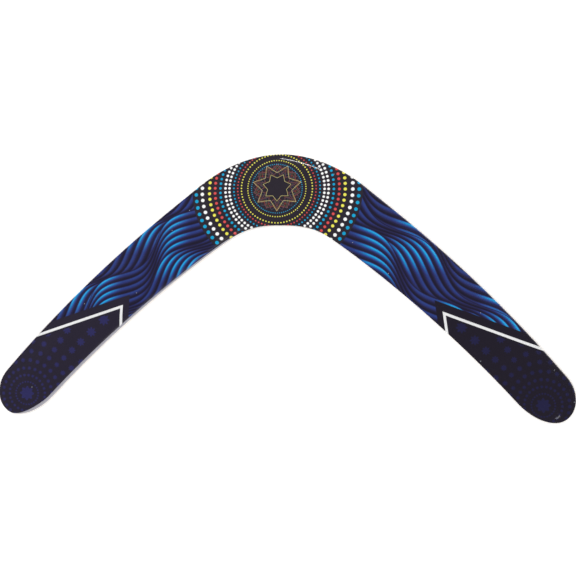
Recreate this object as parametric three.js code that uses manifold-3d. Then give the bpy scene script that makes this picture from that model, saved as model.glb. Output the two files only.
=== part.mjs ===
// Returning boomerang, right-handed: a flat-bottomed plywood blank with an airfoil top, a pale base
// coat, a printed film and a clear gloss coat. Millimetres, +Z up, elbow towards +Y, arms to +X and -X.
// The origin is under the middle of the bounding box, on the plane that the flat underside rests on.
import * as THREE from 'three';
import { mergeVertices } from 'three/addons/utils/BufferGeometryUtils.js';
import Module from 'manifold-3d';

const wasm = await Module();
wasm.setup();

const DEGREE = Math.PI / 180;

// ---- Plan outline -------------------------------------------------------------------------------
// The two arms share one outline. Each follows a spine: a tight bend at the elbow, then a long, nearly
// straight curve. The half width runs evenly from root to tip and swells at the elbow. The tip is two
// quarter ellipses, a short one outside and a long one inside.
const ELBOW_HALF_WIDTH = 24.0;
const ARM = {
  bendRadius: 74.6,
  bendAngle: 36.1 * DEGREE,
  armRadius: 871,
  length: 253.1,
  rootHalfWidth: 21.1,
  tipHalfWidth: 17.6,
  swellLength: 34.5,
  outerTipLength: 21.2,
  innerTipLength: 29.8,
};
const RIGHT_ARM = { side: 1, ...ARM };
const LEFT_ARM = { side: -1, ...ARM };

// ---- Plywood ------------------------------------------------------------------------------------
const VENEER_COUNT = 10;
const VENEER_THICKNESS = 0.446;
const GLUE_THICKNESS = 0.06;
const SQUARE_EDGE_VENEERS = 3; // veneers below the bevels, left with a square edge

// ---- Airfoil ------------------------------------------------------------------------------------
// The right arm leads with its outer edge and the left arm with its inner edge. Leading edges are
// steep and round, trailing edges long and shallow. They change over on each side of the elbow.
const LEADING_BEVEL = { width: 6.5, roundness: 2.2 };
const TRAILING_BEVEL = { width: 14, roundness: 1.25 };
const TIP_BEVEL = { width: 12, roundness: 1.6 };
const CHANGE_OVER_LENGTH = 40;
const PROFILE_RISES = [0, 0.6, 0.85, 1]; // shares of the bevel's height where its facets meet

// ---- Coats --------------------------------------------------------------------------------------
const BASE_COAT_THICKNESS = 0.1;
const PRINT_THICKNESS = 0.08;
const GLOSS_THICKNESS = 0.1;
const COAT_CLEARANCE = 0.04;
// The print leaves a bare strip along the left arm's leading edge, from a distance past the elbow.
// Its width is given at the elbow's end and at the tip's.
const BARE_EDGE_WIDTH = 0.8;
const BARE_EDGE_TIP_WIDTH = 2.2;
const BARE_EDGE_START = 38;
const BARE_EDGE_FADE = 20;

// ---- Fineness -----------------------------------------------------------------------------------
const BEND_STEPS = 6;
const ARM_STEPS = 4;
const TIP_STEPS = 6;
const BARE_EDGE_STEPS = 8;

const SLAB_SIDE = 900; // wider than the blank, for slicing it into layers
const BARE_STRIP_MARGIN = 5;

const PLY_PITCH = VENEER_THICKNESS + GLUE_THICKNESS;
const PLYWOOD_TOP = VENEER_COUNT * PLY_PITCH - GLUE_THICKNESS;
const SQUARE_EDGE_TOP = SQUARE_EDGE_VENEERS * PLY_PITCH - GLUE_THICKNESS;

const BIRCH_ALONG = { color: 0xd9bd8f, roughness: 0.62, metalness: 0 };
const BIRCH_ACROSS = { color: 0xb98f5f, roughness: 0.72, metalness: 0 };
const PHENOLIC_GLUE = { color: 0x5a3322, roughness: 0.5, metalness: 0 };
const BASE_PAINT = { color: 0xd2d2d6, roughness: 0.5, metalness: 0 };
const PRINTED_FILM = { color: 0x2b2f63, roughness: 0.35, metalness: 0 };
const CLEAR_GLOSS = { color: 0xe8ecf2, roughness: 0.08, metalness: 0 };

// ---- Spine and sections -------------------------------------------------------------------------

// Place and heading on an arm's spine; the heading turns clockwise from +X as the arm leaves the elbow.
function spineAt(arm, s) {
  const onBend = Math.min(s, arm.bendRadius * arm.bendAngle);
  const onArm = Math.max(s - arm.bendRadius * arm.bendAngle, 0);
  const bend = onBend / arm.bendRadius;
  const heading = bend + onArm / arm.armRadius;
  const x = arm.bendRadius * Math.sin(bend) + arm.armRadius * (Math.sin(heading) - Math.sin(bend));
  const y = arm.bendRadius * (Math.cos(bend) - 1) + arm.armRadius * (Math.cos(heading) - Math.cos(bend));
  return { x, y, heading };
}

function halfWidthAt(arm, s) {
  const taper = THREE.MathUtils.lerp(arm.rootHalfWidth, arm.tipHalfWidth, s / arm.length);
  return taper + (ELBOW_HALF_WIDTH - arm.rootHalfWidth) * Math.exp(-((s / arm.swellLength) ** 2));
}

// Plan point at distance s along an arm and v outward from its spine.
function planPoint(arm, s, v) {
  const { x, y, heading } = spineAt(arm, s);
  return [arm.side * (x + v * Math.sin(heading)), y + v * Math.cos(heading)];
}

// How far the outer edge has changed from trailing (0, left arm) to leading (1, right arm).
function outerLeadShare(arm, s) {
  return THREE.MathUtils.smoothstep(arm.side * s, -CHANGE_OVER_LENGTH, CHANGE_OVER_LENGTH);
}

// The bevels' insets at a share of their height.
function insetsAt(rise) {
  const inset = (bevel) => bevel.width * rise ** bevel.roundness;
  return { leading: inset(LEADING_BEVEL), trailing: inset(TRAILING_BEVEL), tip: inset(TIP_BEVEL) };
}

// ---- Rings --------------------------------------------------------------------------------------
// A ring is a closed level loop round the blank: first the left tip's apex, then the outer edge to the
// right tip's apex, then the inner edge back.

// How far round the tip's quarter ellipse a station lies: 0 where it starts, a right angle at the apex.
function tipTurnAt(step) {
  return (Math.max(step - BEND_STEPS - ARM_STEPS, 0) / TIP_STEPS) * (Math.PI / 2);
}

// Distance along an arm of a station, where the tip's quarter ellipse is tipLength long.
function stationDistance(arm, tipLength, tipInset, step) {
  const bendLength = arm.bendRadius * arm.bendAngle;
  if (step <= BEND_STEPS) return (bendLength * step) / BEND_STEPS;
  const along = Math.min((step - BEND_STEPS) / ARM_STEPS, 1);
  const straight = THREE.MathUtils.lerp(bendLength, arm.length - tipLength, along);
  return straight + (tipLength - tipInset) * Math.sin(tipTurnAt(step));
}

// One point of a ring, in plan. edge is 1 on the outer edge and -1 on the inner edge.
function ringPoint(arm, edge, step, insets) {
  const tipLength = edge > 0 ? arm.outerTipLength : arm.innerTipLength;
  const s = stationDistance(arm, tipLength, insets.tip, step);
  const outerLead = outerLeadShare(arm, s);
  const leadShare = edge > 0 ? outerLead : 1 - outerLead;
  const sideInset = THREE.MathUtils.lerp(insets.trailing, insets.leading, leadShare);
  const reach = (halfWidthAt(arm, s) - sideInset) * Math.cos(tipTurnAt(step));
  return planPoint(arm, s, edge * reach);
}

function ring(insets, z) {
  const apex = BEND_STEPS + ARM_STEPS + TIP_STEPS;
  const points = [];
  for (let step = apex; step > 0; step -= 1) points.push(ringPoint(LEFT_ARM, 1, step, insets));
  for (let step = 0; step <= apex; step += 1) points.push(ringPoint(RIGHT_ARM, 1, step, insets));
  for (let step = apex - 1; step >= 0; step -= 1) points.push(ringPoint(RIGHT_ARM, -1, step, insets));
  for (let step = 1; step < apex; step += 1) points.push(ringPoint(LEFT_ARM, -1, step, insets));
  return points.map(([x, y]) => [x, y, z]);
}

// Rings where the airfoil's facets meet, from the square edge to the crown, grown outward and upward.
function airfoilRings(lift) {
  return PROFILE_RISES.map((rise) => {
    const { leading, trailing, tip } = insetsAt(rise);
    const grown = { leading: leading - lift, trailing: trailing - lift, tip: tip - lift };
    return ring(grown, THREE.MathUtils.lerp(SQUARE_EDGE_TOP, PLYWOOD_TOP, rise) + lift);
  });
}

// ---- Solids -------------------------------------------------------------------------------------

// Closed body through a list of rings: side walls between them, and a flat face across each end one.
function loft(rings) {
  const count = rings[0].length;
  const index = [];
  for (let level = 0; level < rings.length - 1; level += 1) {
    const rising = rings[level + 1][0][2] > rings[level][0][2];
    for (let i = 0; i < count; i += 1) {
      const here = [level * count + i, level * count + ((i + 1) % count)];
      const next = [here[0] + count, here[1] + count];
      // The fold in each wall panel runs the same way on both faces of a coat, so that they stay apart.
      if (rising) index.push(here[0], next[0], next[1], here[0], next[1], here[1]);
      else index.push(here[0], next[0], here[1], here[1], next[0], next[1]);
    }
  }
  // Both edges leave from point 0 and meet again half-way round, so a ladder between them fills a face.
  const fillFace = (first, facesUp) => {
    for (let i = 0; i < count / 2; i += 1) {
      const [outer, nextOuter] = [first + i, first + i + 1];
      const [inner, nextInner] = [first + ((count - i) % count), first + count - i - 1];
      if (nextInner !== nextOuter) index.push(...turned([inner, nextInner, nextOuter], facesUp));
      if (inner !== outer) index.push(...turned([inner, nextOuter, outer], facesUp));
    }
  };
  fillFace(0, false);
  fillFace((rings.length - 1) * count, true);
  const geometry = new THREE.BufferGeometry();
  geometry.setAttribute('position', new THREE.Float32BufferAttribute(rings.flat(2), 3));
  geometry.setIndex(index);
  return geometry;
}

function turned([a, b, c], facesUp) {
  return facesUp ? [a, b, c] : [a, c, b];
}

function solidOf(geometry) {
  const positions = new THREE.BufferGeometry();
  positions.setAttribute('position', geometry.getAttribute('position'));
  positions.setIndex(geometry.getIndex());
  const merged = mergeVertices(positions);
  const vertProperties = new Float32Array(merged.getAttribute('position').array);
  const triVerts = new Uint32Array(merged.getIndex().array);
  return new wasm.Manifold(new wasm.Mesh({ numProp: 3, vertProperties, triVerts }));
}

function geometryOf(solid) {
  const { vertProperties, triVerts } = solid.getMesh();
  const geometry = new THREE.BufferGeometry();
  geometry.setAttribute('position', new THREE.BufferAttribute(vertProperties, 3));
  geometry.setIndex(new THREE.BufferAttribute(triVerts, 1));
  return geometry;
}

// The whole blank as it is shaped: square below, then the airfoil.
function blankSolid() {
  return solidOf(loft([ring(insetsAt(0), 0), ...airfoilRings(0)]));
}

// Slice of the blank between two heights, as one veneer or one glue film.
function layerGeometry(blank, bottom, top) {
  const slab = new THREE.BoxGeometry(SLAB_SIDE, SLAB_SIDE, 1);
  const corners = slab.getAttribute('position');
  for (let i = 0; i < corners.count; i += 1) corners.setZ(i, corners.getZ(i) > 0 ? top : bottom);
  return geometryOf(blank.intersect(solidOf(slab)));
}

// Coat over the whole airfoil, from lift to lift + thickness off the plywood.
function coatGeometry(lift, thickness) {
  return loft([...airfoilRings(lift).reverse(), ...airfoilRings(lift + thickness)]);
}

// Block that stands over the bare strip, wide of the blank on its far side.
function bareStripSolid() {
  const arm = LEFT_ARM;
  const inside = [];
  const outside = [];
  for (let step = 0; step <= BARE_EDGE_STEPS; step += 1) {
    const s = THREE.MathUtils.lerp(BARE_EDGE_START, arm.length, step / BARE_EDGE_STEPS);
    const fullWidth = THREE.MathUtils.lerp(BARE_EDGE_WIDTH, BARE_EDGE_TIP_WIDTH, s / arm.length);
    const width = fullWidth * THREE.MathUtils.smoothstep(s - BARE_EDGE_START, 0, BARE_EDGE_FADE);
    inside.push(planPoint(arm, s, width - halfWidthAt(arm, s)));
    outside.push(planPoint(arm, s, -halfWidthAt(arm, s) - BARE_STRIP_MARGIN));
  }
  const loop = [...inside.reverse(), ...outside];
  const level = (z) => loop.map(([x, y]) => [x, y, z]);
  return solidOf(loft([level(0), level(2 * PLYWOOD_TOP)]));
}

function printGeometry(lift) {
  return geometryOf(solidOf(coatGeometry(lift, PRINT_THICKNESS)).subtract(bareStripSolid()));
}

// ---- Assembly -----------------------------------------------------------------------------------

const pieces = new THREE.Group();

function addPiece(name, geometry, finish) {
  geometry.computeVertexNormals();
  const mesh = new THREE.Mesh(geometry, new THREE.MeshStandardMaterial(finish));
  mesh.name = name;
  pieces.add(mesh);
}

function twoDigits(number) {
  return String(number).padStart(2, '0');
}

// The face veneers' grain runs from tip to tip. The grain turns at each glue line but the middle one.
function veneerFinish(layer) {
  const fromNearestFace = Math.min(layer, VENEER_COUNT - 1 - layer);
  return fromNearestFace % 2 === 0 ? BIRCH_ALONG : BIRCH_ACROSS;
}

function addPlywood() {
  const blank = blankSolid();
  for (let layer = 0; layer < VENEER_COUNT; layer += 1) {
    const bottom = layer * PLY_PITCH;
    const top = bottom + VENEER_THICKNESS;
    addPiece(`veneer_${twoDigits(layer + 1)}`, layerGeometry(blank, bottom, top), veneerFinish(layer));
    if (layer === VENEER_COUNT - 1) continue;
    const film = layerGeometry(blank, top, (layer + 1) * PLY_PITCH);
    addPiece(`glue_film_${twoDigits(layer + 1)}`, film, PHENOLIC_GLUE);
  }
}

function addCoats() {
  const baseLift = COAT_CLEARANCE;
  const printLift = baseLift + BASE_COAT_THICKNESS + COAT_CLEARANCE;
  const glossLift = printLift + PRINT_THICKNESS + COAT_CLEARANCE;
  addPiece('base_coat', coatGeometry(baseLift, BASE_COAT_THICKNESS), BASE_PAINT);
  addPiece('printed_film', printGeometry(printLift), PRINTED_FILM);
  addPiece('gloss_coat', coatGeometry(glossLift, GLOSS_THICKNESS), CLEAR_GLOSS);
}

addPlywood();
addCoats();

// Centre the outermost coat's box over the origin.
const middle = new THREE.Box3().setFromObject(pieces).getCenter(new THREE.Vector3());
pieces.position.set(-middle.x, -middle.y, 0);

const boomerang = new THREE.Group();
boomerang.add(pieces);

export default boomerang;
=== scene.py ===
"""Right-handed returning boomerang: birch plywood blank, pale base coat and a glossy printed film.

Every piece is a fine mesh that takes the place of its coarser CAD node. Lengths are millimetres in
the dataclasses and metres in the meshes. The axes are the frame's: elbow towards +Y, arms to +X and
-X.
"""

import logging
import math
from dataclasses import dataclass, field
from enum import Enum
from typing import Sequence, Union

import bpy
import numpy as np
from mathutils import Matrix, Vector


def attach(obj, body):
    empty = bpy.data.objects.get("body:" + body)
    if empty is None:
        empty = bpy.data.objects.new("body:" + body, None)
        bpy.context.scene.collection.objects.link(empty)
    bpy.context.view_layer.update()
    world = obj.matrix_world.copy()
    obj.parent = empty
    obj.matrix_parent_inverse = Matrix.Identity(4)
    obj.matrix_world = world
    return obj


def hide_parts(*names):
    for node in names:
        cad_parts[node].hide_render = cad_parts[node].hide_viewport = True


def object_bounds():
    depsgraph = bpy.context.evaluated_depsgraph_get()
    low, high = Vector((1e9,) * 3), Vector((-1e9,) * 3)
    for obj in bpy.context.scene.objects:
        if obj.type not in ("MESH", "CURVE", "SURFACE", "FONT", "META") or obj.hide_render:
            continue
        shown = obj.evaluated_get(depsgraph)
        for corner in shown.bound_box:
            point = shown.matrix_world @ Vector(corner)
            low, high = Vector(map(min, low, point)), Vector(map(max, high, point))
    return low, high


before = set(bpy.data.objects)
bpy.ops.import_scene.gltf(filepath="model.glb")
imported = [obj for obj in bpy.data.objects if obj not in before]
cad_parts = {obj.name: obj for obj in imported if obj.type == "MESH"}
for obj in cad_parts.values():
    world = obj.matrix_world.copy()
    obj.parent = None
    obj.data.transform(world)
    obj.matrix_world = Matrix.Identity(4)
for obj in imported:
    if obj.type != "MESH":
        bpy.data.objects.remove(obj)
CAD_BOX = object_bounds()

LOG = logging.getLogger("boomerang")
MM = 0.001
TOUCHING = 1e-6  # heights nearer than this are the same height
WHOLE_TURNS = 100  # added before a fraction is taken, to keep it from a negative number
Array = np.ndarray
Colour = tuple[float, float, float]
Socket = bpy.types.NodeSocket
Number = Union["Value", float]


def ink(red: int, green: int, blue: int) -> Colour:
    """Linear colour of an ink given as 8-bit display values.

    Args:
        red: Red from 0 to 255.
        green: Green from 0 to 255.
        blue: Blue from 0 to 255.

    Returns:
        The linear red, green and blue.
    """
    shares = [channel / 255 for channel in (red, green, blue)]
    linear = [s / 12.92 if s <= 0.04045 else ((s + 0.055) / 1.055) ** 2.4 for s in shares]
    return (linear[0], linear[1], linear[2])


def smooth(share: Array) -> Array:
    """Share from 0 to 1, eased at both ends."""
    return share * share * (3 - 2 * share)


# ---- Outline and airfoil ------------------------------------------------------------------------


class Grain(Enum):
    """Which way a veneer's grain runs."""

    ALONG = "birch_along"
    ACROSS = "birch_across"


@dataclass(frozen=True)
class Bevel:
    """One edge of the airfoil: how far it reaches in, and how round it is."""

    width: float
    roundness: float

    def inset(self, rise: Array) -> Array:
        """Distance in from the edge at a share of the bevel's height."""
        return self.width * rise**self.roundness


@dataclass(frozen=True)
class Outline:
    """Plan of one arm: a bend at the elbow, a long curve, and a tip of two quarter ellipses."""

    bend_radius: float = 74.6
    bend_angle: float = math.radians(36.1)
    arm_radius: float = 871.0
    length: float = 253.1
    elbow_half_width: float = 24.0
    root_half_width: float = 21.1
    tip_half_width: float = 17.6
    swell_length: float = 34.5
    outer_tip_length: float = 21.2
    inner_tip_length: float = 29.8
    elbow_y: float = 66.47

    def half_width(self, s: Array) -> Array:
        """Half of the arm's width.

        Args:
            s: Distance along the spine from the elbow.

        Returns:
            The half width there.
        """
        narrowing = self.tip_half_width - self.root_half_width
        swell = self.elbow_half_width - self.root_half_width
        taper = self.root_half_width + narrowing * s / self.length
        return taper + swell * np.exp(-((s / self.swell_length) ** 2))

    def plan_point(self, side: Array, s: Array, v: Array) -> tuple[Array, Array]:
        """Plan point at a distance along the spine and outward from it.

        Args:
            side: 1 for the right arm and -1 for the left arm.
            s: Distance along the spine from the elbow.
            v: Distance outward from the spine.

        Returns:
            The x and y of the point.
        """
        bend = np.minimum(s, self.bend_radius * self.bend_angle) / self.bend_radius
        on_arm = np.maximum(s - self.bend_radius * self.bend_angle, 0.0)
        heading = bend + on_arm / self.arm_radius
        bend_x = self.bend_radius * np.sin(bend)
        bend_y = self.bend_radius * (np.cos(bend) - 1)
        x = bend_x + self.arm_radius * (np.sin(heading) - np.sin(bend))
        y = bend_y + self.arm_radius * (np.cos(heading) - np.cos(bend))
        return side * (x + v * np.sin(heading)), self.elbow_y + y + v * np.cos(heading)


@dataclass(frozen=True)
class Stations:
    """Places round the outline, one to a row of each field.

    They run from the left tip along the outer edge to the right tip, and back along the inner edge.
    """

    side: Array
    edge: Array
    straight: Array
    turn: Array
    tip_length: Array


@dataclass(frozen=True)
class Fineness:
    """How many steps the outline has between the elbow and a tip, and the airfoil's rows."""

    bend_steps: int = 36
    arm_steps: int = 96
    tip_steps: int = 26
    rises: tuple[float, ...] = (
        0.0, 0.02, 0.05, 0.09, 0.14, 0.2, 0.27, 0.35, 0.43, 0.51, 0.59, 0.66,
        0.73, 0.79, 0.84, 0.88, 0.92, 0.96, 1.0, 1.04, 1.08, 1.12,
    )  # fmt: skip


@dataclass(frozen=True)
class Layup:
    """Thicknesses of the plywood's sheets and of the coats, and the gaps between the coats."""

    veneers: int = 10
    veneer: float = 0.446
    glue: float = 0.06
    square_edge_veneers: int = 3
    base: float = 0.1
    film: float = 0.08
    gloss: float = 0.1
    gap: float = 0.04

    @property
    def pitch(self) -> float:
        """Height of one veneer and its glue film."""
        return self.veneer + self.glue

    @property
    def top(self) -> float:
        """Height of the plywood."""
        return self.veneers * self.pitch - self.glue

    @property
    def square_top(self) -> float:
        """Height of the square edge below the airfoil."""
        return self.square_edge_veneers * self.pitch - self.glue


@dataclass(frozen=True)
class BareEdge:
    """Strip along the left arm's leading edge that the printed film leaves bare.

    Its width is given at the elbow's end and at the tip's. Round the tip it keeps its width until
    the hold is used up, and then falls away.
    """

    width: float = 0.8
    tip_width: float = 2.2
    start: float = 38.0
    fade: float = 20.0
    tip_hold: float = 1.35
    tip_fall: float = 1.6


@dataclass
class Blank:
    """Shape of the whole blank, from which every sheet and coat takes its rings.

    A ring is a closed loop round the blank at one share of the airfoil's height, its rise.
    """

    outline: Outline = field(default_factory=Outline)
    layup: Layup = field(default_factory=Layup)
    fineness: Fineness = field(default_factory=Fineness)
    leading: Bevel = Bevel(6.5, 2.2)
    trailing: Bevel = Bevel(14.0, 1.25)
    tip: Bevel = Bevel(12.0, 1.6)
    change_over: float = 40.0
    crown_blend: float = 0.12
    stations: Stations = field(init=False)

    def __post_init__(self) -> None:
        """Lays out the stations once."""
        self.stations = self._lay_out()

    def _lay_out(self) -> Stations:
        """Works out the stations round the outline.

        Returns:
            The side, edge, distance and tip turn of each station.
        """
        fine, plan = self.fineness, self.outline
        bend_length = plan.bend_radius * plan.bend_angle
        columns: list[tuple[float, float, float, float, float]] = []
        for side, edge, outward in ((-1, 1, False), (1, 1, True), (1, -1, False), (-1, -1, True)):
            tip_length = plan.outer_tip_length if edge > 0 else plan.inner_tip_length
            bend = np.linspace(0, bend_length, fine.bend_steps, endpoint=False)
            arm = np.linspace(bend_length, plan.length - tip_length, fine.arm_steps, endpoint=False)
            turn = np.linspace(0, math.pi / 2, fine.tip_steps + 1)
            straight = np.concatenate([bend, arm, np.full(len(turn), plan.length - tip_length)])
            turns = np.concatenate([np.zeros(len(bend) + len(arm)), turn])
            rows = [(side, edge, s, t, tip_length) for s, t in zip(straight, turns)]
            # Each quarter leaves out its first place, which the quarter before it ended on.
            columns += (rows if outward else rows[::-1])[1:]
        table = np.array(columns, float)
        return Stations(*table.T)

    def ring(self, rise: Array | float, lift: float = 0.0, inset: float = 0.0) -> Array:
        """Ring of points at a rise.

        Args:
            rise: Share of the airfoil's height, for all stations or for each.
            lift: Growth outward and upward from the plywood's surface.
            inset: Further distance in from the edge.

        Returns:
            One row of x, y and z for each station, in millimetres.
        """
        at, plan = self.stations, self.outline
        rise = np.broadcast_to(np.asarray(rise, float), at.side.shape)
        grown = inset - lift
        s = at.straight + (at.tip_length - self.tip.inset(rise) - grown) * np.sin(at.turn)
        across = np.clip((at.side * s + self.change_over) / (2 * self.change_over), 0, 1)
        outer_lead = smooth(across)
        lead = np.where(at.edge > 0, outer_lead, 1 - outer_lead)
        side_inset = self.trailing.inset(rise) * (1 - lead) + self.leading.inset(rise) * lead
        reach = (plan.half_width(s) - (side_inset + grown)) * np.cos(at.turn)
        x, y = plan.plan_point(at.side, s, at.edge * reach)
        return np.stack([x, y, self.height(rise) + lift], axis=1)

    def height(self, rise: Array) -> Array:
        """Height of the plywood, with the airfoil eased into the flat crown.

        Args:
            rise: Share of the airfoil's height.

        Returns:
            The height in millimetres.
        """
        near = np.maximum(self.crown_blend - np.abs(rise - 1), 0) / self.crown_blend
        eased = np.minimum(rise, 1) - near * near * self.crown_blend / 4
        return self.layup.square_top + (self.layup.top - self.layup.square_top) * eased

    def bare_rise(self, bare: BareEdge) -> Array:
        """Rise below which the printed film leaves the base coat bare, for each station.

        Args:
            bare: The bare strip's sizes.

        Returns:
            The rise at each station, which is 0 where the film reaches the edge.
        """
        at = self.stations
        start = np.clip((at.straight - bare.start) / bare.fade, 0, 1)
        end = np.clip(bare.tip_hold - at.turn / (math.pi / 2) * bare.tip_fall, 0, 1)
        full = bare.width + (bare.tip_width - bare.width) * at.straight / self.outline.length
        on_left_inner = (at.side < 0) & (at.edge < 0)
        width = np.where(on_left_inner, full * smooth(start) * smooth(end), 0)
        return (width / self.leading.width) ** (1 / self.leading.roundness)


def lofted(name: str, rings: Sequence[Array]) -> bpy.types.Object:
    """Closed mesh through rings, with a flat face across the first and the last.

    Args:
        name: Name of the new object.
        rings: Loops of points in millimetres, each with the same number of points.

    Returns:
        The new object, in metres.
    """
    count = len(rings[0])
    # The finer mesh bulges a hair further than the CAD model, so its points are held inside the
    # CAD box.
    points = np.clip(np.concatenate(rings) * MM, *(list(corner) for corner in CAD_BOX))
    here = np.arange(count)
    after = (here + 1) % count
    faces: list[tuple[int, ...]] = []
    for level in range(len(rings) - 1):
        low, high = level * count, (level + 1) * count
        faces += list(zip(low + here, high + here, high + after, low + after))
    # The loop starts one step past the left tip, so the tips are its last point and its middle one.
    last = (len(rings) - 1) * count
    for base, up in ((0, True), (last, False)):
        outer = np.concatenate([[count - 1], np.arange(0, count // 2)])
        inner = np.concatenate([[count - 1], np.arange(count - 2, count // 2 - 2, -1)])
        for i in range(count // 2):
            corners = [outer[i], outer[i + 1], inner[i + 1], inner[i]]
            unique = list(dict.fromkeys(int(base + c) for c in corners))
            faces.append(tuple(unique if up else unique[::-1]))
    mesh = bpy.data.meshes.new(name)
    loops = [tuple(int(corner) for corner in face) for face in faces]
    mesh.from_pydata([tuple(point) for point in points.tolist()], [], loops)
    mesh.validate()
    mesh.shade_smooth()
    mesh.update()
    piece = bpy.data.objects.new(name, mesh)
    bpy.context.scene.collection.objects.link(piece)
    return piece


# ---- Shader maths -------------------------------------------------------------------------------


class Value:
    """A number that varies over the surface.

    It wraps a socket, and an expression on it adds Math nodes.
    """

    def __init__(self, shader: "Shader", socket: Socket) -> None:
        """Keeps the shader and its socket."""
        self.shader = shader
        self.socket = socket

    def math(self, operation: str, *others: Number) -> "Value":
        """Result of a Math node on this value and others.

        Args:
            operation: The Math node's operation.
            others: The other inputs.

        Returns:
            The node's value.
        """
        return self.shader.value("ShaderNodeMath", {"operation": operation}, [self, *others])

    def _turned(self, operation: str, other: Number) -> "Value":
        """Result of a Math node whose first input is the other value."""
        return self.shader.value("ShaderNodeMath", {"operation": operation}, [other, self])

    def __add__(self, other: Number) -> "Value":
        """Sum."""
        return self.math("ADD", other)

    __radd__ = __add__

    def __sub__(self, other: Number) -> "Value":
        """Difference."""
        return self.math("SUBTRACT", other)

    def __rsub__(self, other: Number) -> "Value":
        """Difference from a number."""
        return self._turned("SUBTRACT", other)

    def __mul__(self, other: Number) -> "Value":
        """Product."""
        return self.math("MULTIPLY", other)

    __rmul__ = __mul__

    def __truediv__(self, other: Number) -> "Value":
        """Quotient."""
        return self.math("DIVIDE", other)

    def __rtruediv__(self, other: Number) -> "Value":
        """Quotient of a number."""
        return self._turned("DIVIDE", other)

    def __pow__(self, other: Number) -> "Value":
        """Power."""
        return self.math("POWER", other)

    def __neg__(self) -> "Value":
        """Value with its sign changed."""
        return self.math("MULTIPLY", -1.0)

    def __abs__(self) -> "Value":
        """Size without sign."""
        return self.math("ABSOLUTE")

    def __gt__(self, other: Number) -> "Value":
        """1 where greater, else 0."""
        return self.math("GREATER_THAN", other)

    def __lt__(self, other: Number) -> "Value":
        """1 where less, else 0."""
        return self.math("LESS_THAN", other)

    def step(self, low: float, high: float) -> "Value":
        """Smooth step.

        Args:
            low: Where it is 0.
            high: Where it is 1, which may be the lower of the two.

        Returns:
            The step, from 0 to 1.
        """
        settings = {"interpolation_type": "SMOOTHSTEP"}
        if low > high:
            return 1 - self.step(high, low)
        return self.shader.value("ShaderNodeMapRange", settings, [self, low, high, 0.0, 1.0])

    def within(self, limit: float, softness: float) -> "Value":
        """1 below a limit and 0 above it, eased over the softness on each side."""
        return self.step(limit + softness, limit - softness)

    def cell(self, shift: float) -> "Value":
        """Place in a repeat that is 1 long, from -0.5 to 0.5 about its middle."""
        return (self + (WHOLE_TURNS + shift)).math("FRACT") - 0.5

    def where(self, below: Number, above: Number) -> "Value":
        """Mix of two values by this one, from below at 0 to above at 1."""
        return below + self * (above - below)


def span(x: Value, y: Value) -> Value:
    """Length of the line to a point."""
    return (x * x + y * y).math("SQRT")


Input = Value | Socket | float | tuple | Vector


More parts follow.
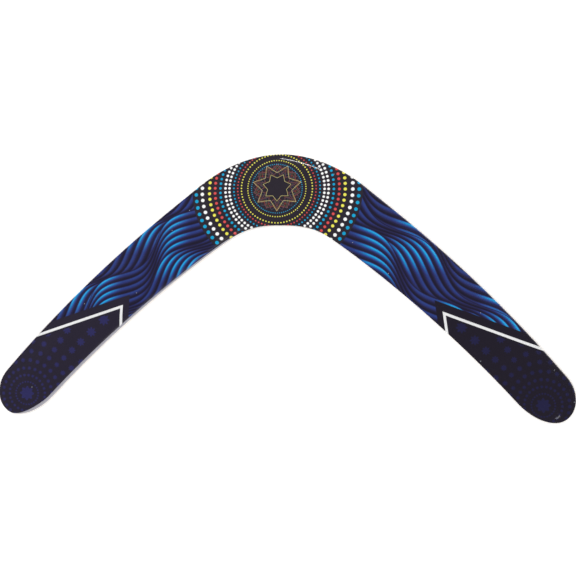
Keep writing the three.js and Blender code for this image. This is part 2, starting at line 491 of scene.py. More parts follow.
class Shader:
    """Builds one material's nodes round a Principled BSDF."""

    def __init__(self, name: str) -> None:
        """Starts an empty material with its BSDF and its object coordinates."""
        self.material = bpy.data.materials.new(name)
        self.material.use_nodes = True
        self.tree = self.material.node_tree
        self.tree.nodes.clear()
        self.surface = self.tree.nodes.new("ShaderNodeBsdfPrincipled")
        output = self.tree.nodes.new("ShaderNodeOutputMaterial")
        self.tree.links.new(self.surface.outputs[0], output.inputs["Surface"])
        place = self.tree.nodes.new("ShaderNodeTexCoord").outputs["Object"]
        self.place = self.times(place, 1 / MM)

    def node(self, kind: str, settings: dict, inputs: Sequence[Input] | dict) -> list[Socket]:
        """Adds a node.

        Args:
            kind: The node's type.
            settings: Its properties, or "stops" for a ramp, which are set first.
            inputs: Values or links of its sockets, in order or by name or number.

        Returns:
            The node's output sockets.
        """
        made = self.tree.nodes.new(kind)
        for key, setting in settings.items():
            if key == "stops":
                self._stops(made.color_ramp, setting)
            else:
                setattr(made, key, setting)
        pairs = inputs.items() if isinstance(inputs, dict) else enumerate(inputs)
        for key, given in pairs:
            self.feed(made.inputs[key], given)
        return list(made.outputs)

    def feed(self, socket: Socket, given: Input) -> None:
        """Sets a socket to a constant or links it.

        Args:
            socket: The input socket.
            given: A value or socket to link, or a constant. A colour may leave out its alpha.
        """
        if isinstance(given, Value):
            self.tree.links.new(given.socket, socket)
        elif isinstance(given, Socket):
            self.tree.links.new(given, socket)
        else:
            wants_alpha = socket.type == "RGBA" and not isinstance(given, float) and len(given) == 3
            socket.default_value = (*given, 1.0) if wants_alpha else given

    def _stops(self, ramp: bpy.types.ColorRamp, stops: Sequence[tuple[float, Colour]]) -> None:
        """Gives a ramp its stops.

        Args:
            ramp: The ramp.
            stops: The place and colour of each stop.
        """
        while len(ramp.elements) < len(stops):
            ramp.elements.new(0.5)
        for element, (place, colour) in zip(ramp.elements, stops):
            element.position = place
            element.color = (*colour, 1.0)

    def value(self, kind: str, settings: dict, inputs: Sequence[Input] | dict) -> Value:
        """Adds a node and wraps its first output."""
        return Value(self, self.node(kind, settings, inputs)[0])

    def axes(self, vector: Socket) -> tuple[Value, Value, Value]:
        """Splits a vector into its three values."""
        parts = self.node("ShaderNodeSeparateXYZ", {}, [vector])
        return Value(self, parts[0]), Value(self, parts[1]), Value(self, parts[2])

    def joined(self, x: Input, y: Input, z: Input = 0.0) -> Socket:
        """Joins three values into a vector."""
        return self.node("ShaderNodeCombineXYZ", {}, [x, y, z])[0]

    def noise(
        self, vector: Input, scale: float, detail: float = 2.0, roughness: float = 0.5
    ) -> Value:
        """Noise at a number of features per millimetre, centred on 0.5."""
        inputs = {"Vector": vector, "Scale": scale, "Detail": detail, "Roughness": roughness}
        return self.value("ShaderNodeTexNoise", {}, inputs)

    def mix(self, mask: Input, below: Input, above: Input) -> Socket:
        """Mixes two colours."""
        made = self.node("ShaderNodeMix", {"data_type": "RGBA"}, {0: mask, 6: below, 7: above})
        return made[2]

    def times(self, colour: Input, factor: Number) -> Socket:
        """Colour or vector scaled by a value."""
        inputs = {0: colour, "Scale": factor}
        return self.node("ShaderNodeVectorMath", {"operation": "SCALE"}, inputs)[0]

    def bump(self, height: Value, distance: float, strength: float = 1.0) -> Socket:
        """Normal raised by a height, with the distance in millimetres."""
        inputs = {"Height": height, "Distance": distance * MM, "Strength": strength}
        return self.node("ShaderNodeBump", {}, inputs)[0]

    def dress(self, **sockets: Input) -> bpy.types.Material:
        """Sets the BSDF's sockets by name, with _ for a space, and gives the material."""
        for key, given in sockets.items():
            self.feed(self.surface.inputs[key.replace("_", " ")], given)
        return self.material


# ---- Finishes -----------------------------------------------------------------------------------


@dataclass(frozen=True)
class BirchFinish:
    """Sanded, sealed birch veneer, whose grain runs along or across the boomerang."""

    grain: Grain
    pale: Colour
    deep: Colour
    roughness: float

    def material(self) -> bpy.types.Material:
        """Builds the veneer's material."""
        shader = Shader(self.grain.value)
        x, y, z = shader.axes(shader.place)
        along, across = (x, y) if self.grain is Grain.ALONG else (y, x)
        warp = shader.noise(shader.joined(along * 0.006, across * 0.03, z * 0.2), 1.0, 3.0)
        wander = across * 0.35 + warp * 3.0
        figure = shader.noise(shader.joined(along * 0.012, wander, z), 1.0, 4.0, 0.6)
        fibres = shader.noise(shader.joined(along * 0.12, across * 6.0, z * 6.0), 1.0, 3.0, 0.65)
        pores = shader.noise(shader.joined(along * 0.35, across * 9.0, z * 9.0), 1.0, 1.0)
        pore = pores.step(0.66, 0.74)
        tone = figure * 0.75 + fibres * 0.45 - 0.1
        wood = shader.mix(tone.step(0.2, 0.85), self.pale, self.deep)
        wood = shader.times(wood, 1 - pore * 0.3)
        relief = fibres * 0.6 - pore * 0.8
        return shader.dress(
            Base_Color=wood,
            Roughness=(fibres * 0.2 + (self.roughness - 0.1)),
            Normal=shader.bump(relief, 0.03),
            Coat_Weight=0.25,
            Coat_Roughness=0.3,
        )


@dataclass(frozen=True)
class GlueFinish:
    """Dark resin film between two veneers."""

    colour: Colour

    def material(self) -> bpy.types.Material:
        """Builds the film's material."""
        shader = Shader("phenolic_glue")
        spread = shader.noise(shader.place, 1.6, 3.0)
        colour = shader.times(self.colour, spread * 0.6 + 0.7)
        return shader.dress(Base_Color=colour, Roughness=spread * 0.3 + 0.35)


@dataclass(frozen=True)
class PaintFinish:
    """Satin base paint, bare only along one edge."""

    colour: Colour

    def material(self) -> bpy.types.Material:
        """Builds the paint's material."""
        shader = Shader("base_paint")
        cloud = shader.noise(shader.place, 0.15, 3.0)
        speck = shader.noise(shader.place, 3.0, 2.0).step(0.68, 0.74)
        colour = shader.times(self.colour, cloud * 0.25 + 0.86 - speck * 0.35)
        return shader.dress(
            Base_Color=colour,
            Roughness=cloud * 0.15 + 0.25,
            Normal=shader.bump(shader.noise(shader.place, 0.8, 2.0), 0.05),
            Coat_Weight=1.0,
            Coat_Roughness=0.06,
        )


class Inks(Enum):
    """Inks of the print."""

    GROUND = ink(37, 31, 42)
    CYAN = ink(0, 160, 208)
    YELLOW = ink(236, 230, 88)
    RED = ink(216, 76, 76)
    WHITE = ink(248, 248, 248)
    CHALK = ink(232, 232, 233)
    GOLD = ink(220, 208, 136)
    RUST = ink(176, 78, 60)
    SLATE = ink(124, 128, 152)


@dataclass(frozen=True)
class DotRing:
    """One ring of printed dots."""

    radius: float
    dot: float
    colour: Inks


@dataclass(frozen=True)
class StarLine:
    """Outline of a printed star: its points, the radii of its tips and notches, and its line."""

    points: int
    tip: float
    notch: float
    width: float
    colour: Inks
    strength: float


@dataclass(frozen=True)
class Rosette:
    """Large round of dots over the elbow, with stars at its centre."""

    centre: tuple[float, float] = (-2.85, 67.3)
    flatness: float = 0.953
    tilt: float = math.radians(9.85)
    disc: float = 59.2
    disc_softness: float = 0.2
    dot_softness: float = 0.14
    line_softness: float = 0.07
    star_shift: tuple[float, float] = (0.3, 0.9)
    spokes: int = 74
    spoke_turn: float = 0.672
    star_turn: float = 0.25
    rings: tuple[DotRing, ...] = (
        DotRing(17.5, 0.64, Inks.CYAN),
        DotRing(20.11, 0.8, Inks.YELLOW),
        DotRing(24.54, 0.98, Inks.YELLOW),
        DotRing(27.13, 1.0, Inks.RED),
        DotRing(29.82, 1.14, Inks.CYAN),
        DotRing(32.92, 1.76, Inks.WHITE),
        DotRing(35.69, 1.84, Inks.WHITE),
        DotRing(39.29, 1.8, Inks.CYAN),
        DotRing(43.07, 2.0, Inks.RED),
        DotRing(47.11, 2.22, Inks.YELLOW),
        DotRing(52.25, 2.5, Inks.WHITE),
        DotRing(56.58, 2.5, Inks.CYAN),
    )
    stars: tuple[StarLine, ...] = (
        StarLine(14, 16.4, 13.6, 0.2, Inks.RUST, 0.85),
        StarLine(14, 15.4, 11.8, 0.14, Inks.GOLD, 0.35),
        StarLine(21, 15.6, 12.6, 0.16, Inks.RUST, 0.6),
        StarLine(28, 16.6, 14.8, 0.14, Inks.SLATE, 0.5),
        StarLine(21, 14.4, 10.6, 0.14, Inks.SLATE, 0.4),
        StarLine(14, 13.6, 8.4, 0.16, Inks.RUST, 0.7),
        StarLine(14, 11.6, 9.4, 0.16, Inks.SLATE, 0.45),
        StarLine(7, 16.9, 10.4, 0.24, Inks.GOLD, 0.85),
        StarLine(7, 9.9, 6.7, 0.24, Inks.GOLD, 0.85),
    )


@dataclass(frozen=True)
class Bundle:
    """Bundle of tube-shaded stripes that lie under one cosine boundary, in an arm's own frame.

    The crest is where the boundary lies furthest out, and the middle is its mean distance outward.
    The drift is how far along the arm each stripe lies past the one outside it, and the lead is how
    far the glow lies past the crest.
    """

    crest: float
    middle: float
    drift: float
    lead: float = 2.0


@dataclass(frozen=True)
class Waves:
    """Bundles of stripes from the inner edge outward, each overlapping the next.

    Lengths are millimetres. A reach is where an effect starts and where it is full, and a floor is
    what is left of the light where an effect is none. The body, glow and haze are shares of light.
    """

    bundles: tuple[Bundle, Bundle, Bundle]
    period: float = 76.0
    swing: float = 5.4
    pitch: float = 4.05
    shadow_reach: tuple[float, float] = (-0.5, 3.5)
    shadow_floor: float = 0.5
    rise_reach: tuple[float, float] = (-0.02, 0.22)
    fall_reach: tuple[float, float] = (0.98, 0.2)
    glow_reach: tuple[float, float] = (-0.15, 1.05)
    squeeze_reach: tuple[float, float] = (0.45, 1.15)
    squeeze_floor: float = 0.45
    body: float = 0.33
    glow: float = 0.6
    haze: float = 0.08
    open_side: float = 60.0
    solving_steps: int = 3


@dataclass(frozen=True)
class Chevron:
    """White V that parts the waves from the tip, with a dark border on its wave side."""

    apex: tuple[float, float]
    outer_angle: float
    inner_angle: float
    outer_border: float
    inner_border: float
    line: float = 1.78
    line_softness: float = 0.16
    border_softness: float = 0.25
    star_reach: tuple[float, float] = (1.6, 2.4)


@dataclass(frozen=True)
class TipRosette:
    """Faint round of star-shaped dots at each tip."""

    spokes: int = 26
    spoke_turn: float = 0.094
    petals: int = 8
    petal_depth: float = 0.09
    star_size: float = 0.42
    star_softness: float = 0.22
    heart: float = 4.4
    heart_petal: float = 0.7
    heart_softness: float = 0.25
    rings: tuple[tuple[float, float], ...] = (
        (8.0, 1.5),
        (12.7, 2.2),
        (17.6, 2.7),
        (23.2, 3.2),
        (29.5, 3.7),
        (36.5, 4.3),
        (44.5, 5.1),
        (53.1, 5.9),
        (63.4, 6.8),
        (75.8, 7.8),
    )


@dataclass(frozen=True)
class Dust:
    """Pale specks on the gloss, in a few of the cells that the surface is parted into.

    The cells are given per millimetre, the edge in shares of a cell, from clear to full.
    """

    cells: float = 0.08
    edge: tuple[float, float] = (0.025, 0.012)
    rarity: float = 0.86
    strength: float = 0.75
    colour: Colour = ink(200, 205, 215)


@dataclass(frozen=True)
class ArmPrint:
    """What is printed on one arm, in its own frame: along the arm from the elbow, and outward."""

    waves: Waves
    chevron: Chevron
    tip_centre: tuple[float, float]
    star_colour: Colour
    tip_ground: Colour


@dataclass(frozen=True)
class PrintFinish:
    """Printed film under a clear gloss: rosette, waves, chevrons and tip rosettes."""

    rosette: Rosette = field(default_factory=Rosette)
    tips: TipRosette = field(default_factory=TipRosette)
    dust: Dust = field(default_factory=Dust)
    slant: float = math.radians(42.0)
    sea: tuple[tuple[float, Colour], ...] = (
        (0.0, ink(16, 10, 36)),
        (0.13, ink(30, 27, 66)),
        (0.28, ink(38, 50, 116)),
        (0.5, ink(34, 86, 156)),
        (0.74, ink(12, 128, 194)),
        (0.98, ink(36, 168, 226)),
    )
    right: ArmPrint = ArmPrint(
        Waves(
            bundles=(
                Bundle(crest=74.0, middle=17.9, drift=4.0, lead=-3.0),
                Bundle(crest=100.0, middle=34.9, drift=-4.0, lead=3.0),
                Bundle(crest=81.0, middle=51.9, drift=4.0, lead=-5.0),
            ),
        ),
        Chevron(
            apex=(139.0, 12.5),
            outer_angle=math.radians(22.4),
            inner_angle=math.radians(40.0),
            outer_border=6.3,
            inner_border=5.2,
        ),
        tip_centre=(229.9, 11.6),
        star_colour=ink(24, 22, 62),
        tip_ground=ink(21, 14, 31),
    )
    left: ArmPrint = ArmPrint(
        Waves(
            bundles=(
                Bundle(crest=90.0, middle=14.2, drift=-3.0),
                Bundle(crest=73.0, middle=31.6, drift=3.0, lead=0.0),
                Bundle(crest=103.5, middle=48.6, drift=-5.0),
            ),
            period=65.0,
            pitch=3.55,
        ),
        Chevron(
            apex=(137.0, 14.5),
            outer_angle=math.radians(23.2),
            inner_angle=math.radians(44.0),
            outer_border=6.0,
            inner_border=5.2,
        ),
        tip_centre=(228.4, 14.3),
        star_colour=ink(38, 36, 86),
        tip_ground=ink(32, 26, 44),
    )

    def material(self) -> bpy.types.Material:
        """Builds the film's material.

        Returns:
            The material, whose gloss is the surface's coat.
        """
        shader = Shader("printed_film")
        x, y, _ = shader.axes(shader.place)
        right = x > 0
        along, out = self._arm_frame(x, y)
        colour = self._wave_colour(shader, along, out, right)
        colour = self._tip_colour(shader, colour, along, out, right)
        colour = self._rosette_colour(shader, colour, x, y)
        grain = shader.noise(shader.place, 1.4, 2.0)
        cloud = shader.noise(shader.place, 0.06, 2.0)
        colour = shader.times(colour, grain * 0.36 + cloud * 0.24 + 0.7)
        colour, dust = self._dust(shader, colour)
        peel = shader.noise(shader.place, 0.22, 2.0)
        return shader.dress(
            Base_Color=colour,
            Roughness=dust * 0.3 + (grain * 0.1 + 0.4),
            Normal=shader.bump(peel, 0.02, 0.6),
            Specular_IOR_Level=0.2,
            Coat_Weight=1 - dust * 0.7,
            Coat_Roughness=0.07,
            Coat_IOR=1.5,
        )

    def _arm_frame(self, x: Value, y: Value) -> tuple[Value, Value]:
        """Turns object axes into an arm's own, the same on both arms.

        Args:
            x: Object x in millimetres.
            y: Object y in millimetres.

        Returns:
            The distance along the arm, and outward from the elbow's spine.
        """
        reach = abs(x)
        drop = y - Outline.elbow_y
        cos, sin = math.cos(self.slant), math.sin(self.slant)
        return reach * cos - drop * sin, reach * sin + drop * cos

    def _pick(self, right: Value, left_value: float, right_value: float) -> Number:
        """Number for whichever arm the point is on.

        Args:
            right: 1 on the right arm.
            left_value: The left arm's number.
            right_value: The right arm's number.

        Returns:
            The number itself if both arms share it, or else the value that picks.
        """
        if left_value == right_value:
            return left_value
        return right.where(left_value, right_value)

    def _wave_colour(self, shader: Shader, along: Value, out: Value, right: Value) -> Socket:
        """Colour of the waves.

        Args:
            shader: The material's nodes.
            along: Distance along the arm.
            out: Distance outward.
            right: 1 on the right arm.

        Returns:
            The colour.
        """
        waves, left_waves = self.right.waves, self.left.waves
        turn = self._pick(right, math.tau / left_waves.period, math.tau / waves.period)
        pitch = self._pick(right, left_waves.pitch, waves.pitch)
        pairs = list(zip(left_waves.bundles, waves.bundles))
        crests, middles, drifts, leads = (
            [self._pick(right, getattr(one, name), getattr(other, name)) for one, other in pairs]
            for name in ("crest", "middle", "drift", "lead")
        )
        edges = [
            ((along - peak) * turn).math("COSINE") * waves.swing + mean
            for peak, mean in zip(crests, middles)
        ]
        crest, middle, drift, lead = crests[0], middles[0], drifts[0], leads[0]
        below = edges[0] - waves.open_side
        for count in range(1, len(edges)):
            over = out > edges[count - 1]
            crest = over.where(crest, crests[count])
            middle = over.where(middle, middles[count])
            drift = over.where(drift, drifts[count])
            lead = over.where(lead, leads[count])
            below = over.where(below, edges[count - 1])
        depth = (middle - out) / pitch
        # Newton's steps find which stripe passes through the point.
        for _ in range(waves.solving_steps):
            phase = (along - crest - drift * depth) * turn
            error = phase.math("COSINE") * waves.swing + middle - depth * pitch - out
            slope = phase.math("SINE") * drift * turn * waves.swing - pitch
            depth = depth - error / slope
        place = depth.math("FRACT")
        ridge = place.step(*waves.rise_reach) * place.step(*waves.fall_reach)
        glow_phase = (along - crest - drift * depth - lead) * turn
        glow = glow_phase.math("COSINE").step(*waves.glow_reach)
        open_share = (-slope / pitch).step(*waves.squeeze_reach)
        squeeze = open_share * (1 - waves.squeeze_floor) + waves.squeeze_floor
        clear_share = (out - below).step(*waves.shadow_reach)
        shade = clear_share * (1 - waves.shadow_floor) + waves.shadow_floor
        light = ridge * waves.body + ridge**3 * glow * waves.glow + glow * waves.haze
        level = light * shade * squeeze
        return shader.node("ShaderNodeValToRGB", {"stops": self.sea}, [level])[0]

    def _tip_colour(
        self, shader: Shader, colour: Input, along: Value, out: Value, right: Value
    ) -> Socket:
        """Adds the chevron and the tip's faint stars over the waves.

        Args:
            shader: The material's nodes.
            colour: The waves' colour.
            along: Distance along the arm.
            out: Distance outward.
            right: 1 on the right arm.

        Returns:
            The colour.
        """
        lc, rc = self.left.chevron, self.right.chevron
        past_x = along - self._pick(right, lc.apex[0], rc.apex[0])
        past_y = out - self._pick(right, lc.apex[1], rc.apex[1])

        def trig(function: str, angle: str) -> Number:
            """Sine or cosine of a leg's angle, for whichever arm the point is on."""
            left_value, right_value = (getattr(math, function)(getattr(c, angle)) for c in (lc, rc))
            return self._pick(right, left_value, right_value)

        outer = past_x * trig("sin", "outer_angle") - past_y * trig("cos", "outer_angle")
        inner = past_x * trig("sin", "inner_angle") + past_y * trig("cos", "inner_angle")
        outer_border = self._pick(right, lc.outer_border, rc.outer_border)
        inner_border = self._pick(right, lc.inner_border, rc.inner_border)
        bordered = (outer + outer_border).math("MINIMUM", inner + inner_border)
        dark = bordered.step(-lc.border_softness, lc.border_softness)
        inside = outer.math("MINIMUM", inner)
        line = abs(inside).within(lc.line / 2, lc.line_softness)
        ground = shader.mix(right, self.left.tip_ground, self.right.tip_ground)
        star = shader.mix(right, self.left.star_colour, self.right.star_colour)
        colour = shader.mix(dark, colour, ground)
        centres = zip(self.left.tip_centre, self.right.tip_centre)
        tip_u, tip_w = (self._pick(right, *pair) for pair in centres)
        stars = self._tip_stars(along - tip_u, out - tip_w) * inside.step(*lc.star_reach)
        colour = shader.mix(stars, colour, star)
        return shader.mix(line, colour, Inks.CHALK.value)

    def _tip_stars(self, px: Value, py: Value) -> Value:
        """Mask of the faint stars round a tip.

        Args:
            px: Distance along the arm past the tip rosette's centre.
            py: Distance outward from it.

        Returns:
            1 on a star and 0 off it.
        """
        tips = self.tips
        radius = span(px, py)
        angle = py.math("ARCTAN2", px)
        spoke = (angle * (tips.spokes / (math.tau))).cell(0.5 + tips.spoke_turn)
        heart_edge = (angle * tips.petals).math("COSINE") * tips.heart_petal + tips.heart
        found = (radius - heart_edge).within(0.0, tips.heart_softness)
        for ring_radius, size in tips.rings:
            side = spoke * (math.tau * ring_radius / tips.spokes)
            ahead = radius - ring_radius
            reach = span(side, ahead)
            petal = (side.math("ARCTAN2", ahead) * tips.petals).math("COSINE")
            edge = petal * (tips.petal_depth * size) + tips.star_size * size
            star = (reach - edge).within(0.0, tips.star_softness)
            found = found.math("MAXIMUM", star)
        return found

    def _rosette_colour(self, shader: Shader, colour: Input, x: Value, y: Value) -> Socket:
        """Lays the large rosette over the rest of the print.

        Args:
            shader: The material's nodes.
            colour: The colour outside the rosette.
            x: Object x in millimetres.
            y: Object y in millimetres.

        Returns:
            The colour.
        """
        rosette = self.rosette
        cos, sin = math.cos(rosette.tilt), math.sin(rosette.tilt)
        dx, dy = x - rosette.centre[0], y - rosette.centre[1]
        px = dx * cos + dy * sin
        py = (dy * cos - dx * sin) / rosette.flatness
        radius = span(px, py)
        turns = py.math("ARCTAN2", px) / (math.tau) + rosette.tilt / (math.tau)
        disc = radius.within(rosette.disc, rosette.disc_softness)
        colour = shader.mix(disc, colour, Inks.GROUND.value)
        sx, sy = px - rosette.star_shift[0], py - rosette.star_shift[1]
        star_radius = span(sx, sy)
        star_turns = sy.math("ARCTAN2", sx) / (math.tau) + rosette.tilt / (math.tau)
        for line in rosette.stars:
            mask = self._star_mask(star_radius, star_turns, line)
            colour = shader.mix(mask, colour, line.colour.value)
        spoke = (turns * rosette.spokes).cell(rosette.spoke_turn)
        for ring in rosette.rings:
            side = spoke * (math.tau * ring.radius / rosette.spokes)
            ahead = radius - ring.radius
            reach = span(side, ahead)
            dot = reach.within(ring.dot / 2, rosette.dot_softness)
            colour = shader.mix(dot, colour, ring.colour.value)
        return colour

    def _star_mask(self, radius: Value, turns: Value, line: StarLine) -> Value:
        """Mask of a star's outline, from its folded angle and the distance to one edge.

        Args:
            radius: Distance from the stars' centre.
            turns: Angle round it, in turns.
            line: The star.

        Returns:
            The line's strength on it and 0 off it.
        """
        half = math.pi / line.points
        shift = 0.5 + self.rosette.star_turn * line.points
        fold = abs((turns * line.points).cell(shift))
        angle = fold * (math.tau / line.points)
        tip = Vector((line.tip, 0.0))
        notch = Vector((line.notch * math.cos(half), line.notch * math.sin(half)))
        normal = (notch - tip).orthogonal().normalized()
        along = angle.math("COSINE") * normal.x + angle.math("SINE") * normal.y
        distance = abs(radius * along - tip.dot(normal))
        return distance.within(line.width / 2, self.rosette.line_softness) * line.strength

    def _dust(self, shader: Shader, colour: Input) -> tuple[Socket, Value]:
        """Adds a few pale specks.

        Args:
            shader: The material's nodes.
            colour: The print's colour.

        Returns:
            The colour, and the mask of the specks.
        """
        dust = self.dust
        inputs = {"Vector": shader.place, "Scale": dust.cells}
        cells = shader.node("ShaderNodeTexVoronoi", {"voronoi_dimensions": "2D"}, inputs)
        near = Value(shader, cells[0])
        pick = shader.axes(cells[1])[0]
        speck = near.step(*dust.edge) * (pick > dust.rarity)
        return shader.mix(speck * dust.strength, colour, dust.colour), speck


# ---- Assembly -----------------------------------------------------------------------------------


@dataclass
class Plywood:
    """Ten birch veneers and the nine glue films between them."""

    blank: Blank
    arris: tuple[tuple[float, float], ...] = ((0.0, 0.22), (0.04, 0.1), (0.1, 0.03), (0.2, 0.0))
    least_rise: float = 0.01

    def _slice(self, bottom: float, top: float) -> list[Array]:
        """Rings of one sheet between two heights.

        Args:
            bottom: Height of the sheet's underside.
            top: Height of its upper face.

        Returns:
            The rings from the bottom up.
        """
        layup = self.blank.layup
        if bottom <= 0:
            low = [self._level(height, inset) for height, inset in self.arris]
            return [*low, self._level(top, 0.0)]
        if top <= layup.square_top + TOUCHING:
            return [self._level(bottom, 0.0), self._level(top, 0.0)]
        span = layup.top - layup.square_top
        first, last = (bottom - layup.square_top) / span, (top - layup.square_top) / span
        crown = top >= layup.top - TOUCHING
        first = max(first, 0.0)
        low, high = first + self.least_rise, last - self.least_rise
        rises = [first] + [rise for rise in self.blank.fineness.rises if low < rise < high]
        rises += [rise for rise in self.blank.fineness.rises if rise >= last] if crown else [last]
        rings = [self.blank.ring(rise) for rise in rises]
        rings[0][:, 2] = bottom
        if not crown:
            rings[-1][:, 2] = top
        return rings

    def _level(self, height: float, inset: float) -> Array:
        """Ring on the square edge.

        Args:
            height: Its height.
            inset: How far in it lies.

        Returns:
            One row of x, y and z for each station, in millimetres.
        """
        ring = self.blank.ring(0.0, inset=inset)
        ring[:, 2] = height
        return ring

    def build(self, finishes: dict[Grain, bpy.types.Material], glue: bpy.types.Material) -> None:
        """Builds each sheet in place of its CAD node.

        Args:
            finishes: The birch material for each way of the grain.
            glue: The glue films' material.
        """
        layup = self.blank.layup
        for layer in range(layup.veneers):
            bottom = layer * layup.pitch
            top = bottom + layup.veneer
            from_face = min(layer, layup.veneers - 1 - layer)
            grain = Grain.ALONG if from_face % 2 == 0 else Grain.ACROSS
            sheet = lofted(f"birch_sheet_{layer + 1:02d}", self._slice(bottom, top))
            fit(sheet, finishes[grain], grain.value, f"veneer_{layer + 1:02d}")
            if layer < layup.veneers - 1:
                film = lofted(f"resin_film_{layer + 1:02d}", self._slice(top, bottom + layup.pitch))
                fit(film, glue, "phenolic_glue", f"glue_film_{layer + 1:02d}")


@dataclass
class Coats:
    """Pale base coat, and the printed film with its gloss."""

    blank: Blank
    bare: BareEdge = field(default_factory=BareEdge)

    def _shell(self, lift: float, thickness: float, start: Array | float) -> list[Array]:
        """Rings of a thin closed shell over the airfoil.

        Args:
            lift: Height of the shell's inner face off the plywood.
            thickness: The shell's thickness.
            start: Rise at which it starts, for all stations or for each.

        Returns:
            The rings, up the inside to the rim and back over the outside.
        """
        top = self.blank.fineness.rises[-1]
        rows = [start + (top - start) * rise / top for rise in self.blank.fineness.rises]
        inside = [self.blank.ring(row, lift) for row in rows[::-1]]
        return inside + [self.blank.ring(row, lift + thickness) for row in rows]

    def build(self, paint: bpy.types.Material, film: bpy.types.Material) -> None:
        """Builds both coats in place of their CAD nodes.

        Args:
            paint: The base coat's material.
            film: The printed film's material.
        """
        layup = self.blank.layup
        base = lofted("base_paint_coat", self._shell(layup.gap, layup.base, 0.0))
        fit(base, paint, "base_paint", "base_coat")
        lift = 2 * layup.gap + layup.base
        depth = layup.film + layup.gap + layup.gloss
        start = self.blank.bare_rise(self.bare)
        print_coat = lofted("glossy_print", self._shell(lift, depth, start))
        fit(print_coat, film, "printed_film", "printed_film", "gloss_coat")


def fit(piece: bpy.types.Object, material: bpy.types.Material, slot: str, *nodes: str) -> None:
    """Dresses a piece, rides it on the body, and lets it stand for its CAD nodes.

    Args:
        piece: The new object.
        material: Its material.
        slot: The record's material slot, which is not used.
        nodes: The CAD nodes that it stands for.
    """
    piece.data.materials.append(material)
    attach(piece, "root")
    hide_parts(*nodes)
    LOG.info("%s: %d faces, for %s", piece.name, len(piece.data.polygons), ", ".join(nodes))


# ---- Studio -------------------------------------------------------------------------------------


@dataclass(frozen=True)
class Softbox:
    """One soft light, aimed at the boomerang, with its first side along a direction."""

    name: str
    place: tuple[float, float, float]
    size: tuple[float, float]
    power: float
    along: tuple[float, float, float] = (1.0, 0.0, 0.0)
    in_gloss: bool = True

    def build(self, aim: Vector) -> None:
        """Adds the light.

        Args:
            aim: The point that it faces.
        """
        data = bpy.data.lights.new(self.name, "AREA")
        data.shape = "RECTANGLE"
        data.size, data.size_y = self.size
        data.energy = self.power
        lamp = bpy.data.objects.new(self.name, data)
        lamp.visible_glossy = self.in_gloss
        back = (Vector(self.place) - aim).normalized()
        along = Vector(self.along)
        side = (along - back * along.dot(back)).normalized()
        turn = Matrix((side, back.cross(side), back)).transposed().to_4x4()
        lamp.matrix_world = Matrix.Translation(self.place) @ turn
        bpy.context.scene.collection.objects.link(lamp)


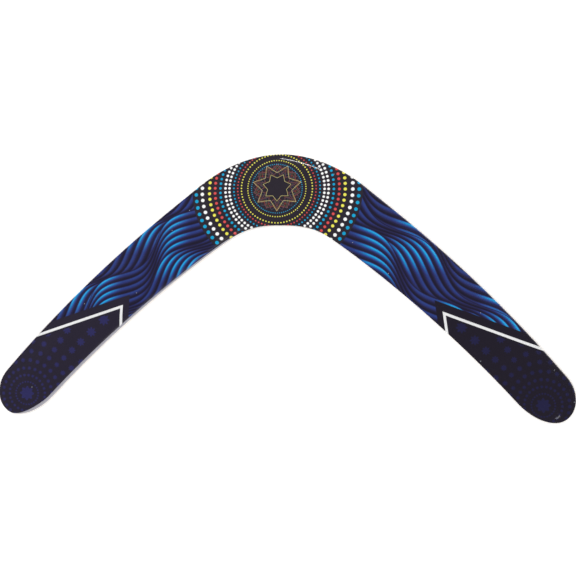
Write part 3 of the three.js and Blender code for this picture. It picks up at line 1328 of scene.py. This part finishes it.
@dataclass
class Studio:
    """Pale floor, soft lights and the camera, which looks down from a little to the right."""

    lean_right: float = math.radians(7.49)
    lean_up: float = math.radians(2.14)
    roll: float = math.radians(-0.13)
    distance: float = 1.1622
    lens: float = 105.54
    aim: tuple[float, float, float] = (0.0043, -0.0009, 0.0)
    sky: float = 0.2
    floor_half_side: float = 4.0
    floor_height: float = -0.0002
    lights: tuple[Softbox, ...] = (
        Softbox("left_softbox", (-0.9, 0.6, 1.3), (1.0, 1.0), 12.6, in_gloss=False),
        Softbox("right_softbox", (0.9, 0.5, 1.3), (1.0, 1.0), 11.0, in_gloss=False),
        Softbox("front_softbox", (0.0, -1.1, 1.2), (1.2, 0.8), 9.6, in_gloss=False),
        Softbox("back_strip", (-0.065, 0.823, 0.95), (0.36, 0.016), 0.6, (1.0, -1.0, 0.0)),
        Softbox("front_strip", (0.285, -0.847, 0.95), (0.25, 0.05), 0.14, (0.743, 0.669, 0.0)),
    )

    def build(self) -> None:
        """Adds the floor, the lights, the world and the camera."""
        self._floor()
        for light in self.lights:
            light.build(Vector(self.aim))
        self._world()
        self._camera()

    def _floor(self) -> None:
        """Adds the floor."""
        mesh = bpy.data.meshes.new("floor")
        signs = ((-1, -1), (1, -1), (1, 1), (-1, 1))
        side = self.floor_half_side
        corners = [(x * side, y * side, self.floor_height) for x, y in signs]
        mesh.from_pydata(corners, [], [(0, 1, 2, 3)])
        floor = bpy.data.objects.new("floor", mesh)
        bpy.context.scene.collection.objects.link(floor)
        paper = Shader("floor_paper").dress(
            Base_Color=(0.95, 0.95, 0.95),
            Roughness=0.9,
            Specular_IOR_Level=0.0,
            Emission_Color=(1.0, 1.0, 1.0),
            Emission_Strength=0.25,
        )
        mesh.materials.append(paper)

    def _world(self) -> None:
        """Gives the world a soft white glow."""
        world = bpy.data.worlds.new("studio")
        world.use_nodes = True
        background = world.node_tree.nodes["Background"]
        background.inputs["Color"].default_value = (1.0, 1.0, 1.0, 1.0)
        background.inputs["Strength"].default_value = self.sky
        bpy.context.scene.world = world
        bpy.context.scene.view_settings.view_transform = "Standard"

    def _camera(self) -> None:
        """Adds the camera."""
        data = bpy.data.cameras.new("camera")
        data.lens = self.lens
        data.clip_start, data.clip_end = 0.01, 50.0
        camera = bpy.data.objects.new("camera", data)
        bpy.context.scene.collection.objects.link(camera)
        right, up = math.sin(self.lean_right), math.sin(self.lean_up)
        back = Vector((right, up, math.sqrt(1 - right * right - up * up)))
        rolled_up = Vector((math.sin(self.roll), math.cos(self.roll), 0.0))
        screen_right = (-back).cross(rolled_up).normalized()
        screen_up = screen_right.cross(-back)
        turn = Matrix((screen_right, screen_up, back)).transposed().to_4x4()
        camera.matrix_world = Matrix.Translation(Vector(self.aim) + back * self.distance) @ turn
        bpy.context.scene.camera = camera


def main() -> None:
    """Builds the boomerang and the studio."""
    logging.basicConfig(level=logging.INFO, format="%(message)s")
    blank = Blank()
    face_grain = BirchFinish(Grain.ALONG, ink(226, 200, 158), ink(196, 158, 110), 0.5)
    end_grain = BirchFinish(Grain.ACROSS, ink(190, 150, 104), ink(140, 100, 62), 0.6)
    birch = {finish.grain: finish.material() for finish in (face_grain, end_grain)}
    glue = GlueFinish(ink(74, 42, 28)).material()
    Plywood(blank).build(birch, glue)
    Coats(blank).build(PaintFinish(ink(178, 176, 186)).material(), PrintFinish().material())
    Studio().build()


if __name__ == "__main__":
    main()
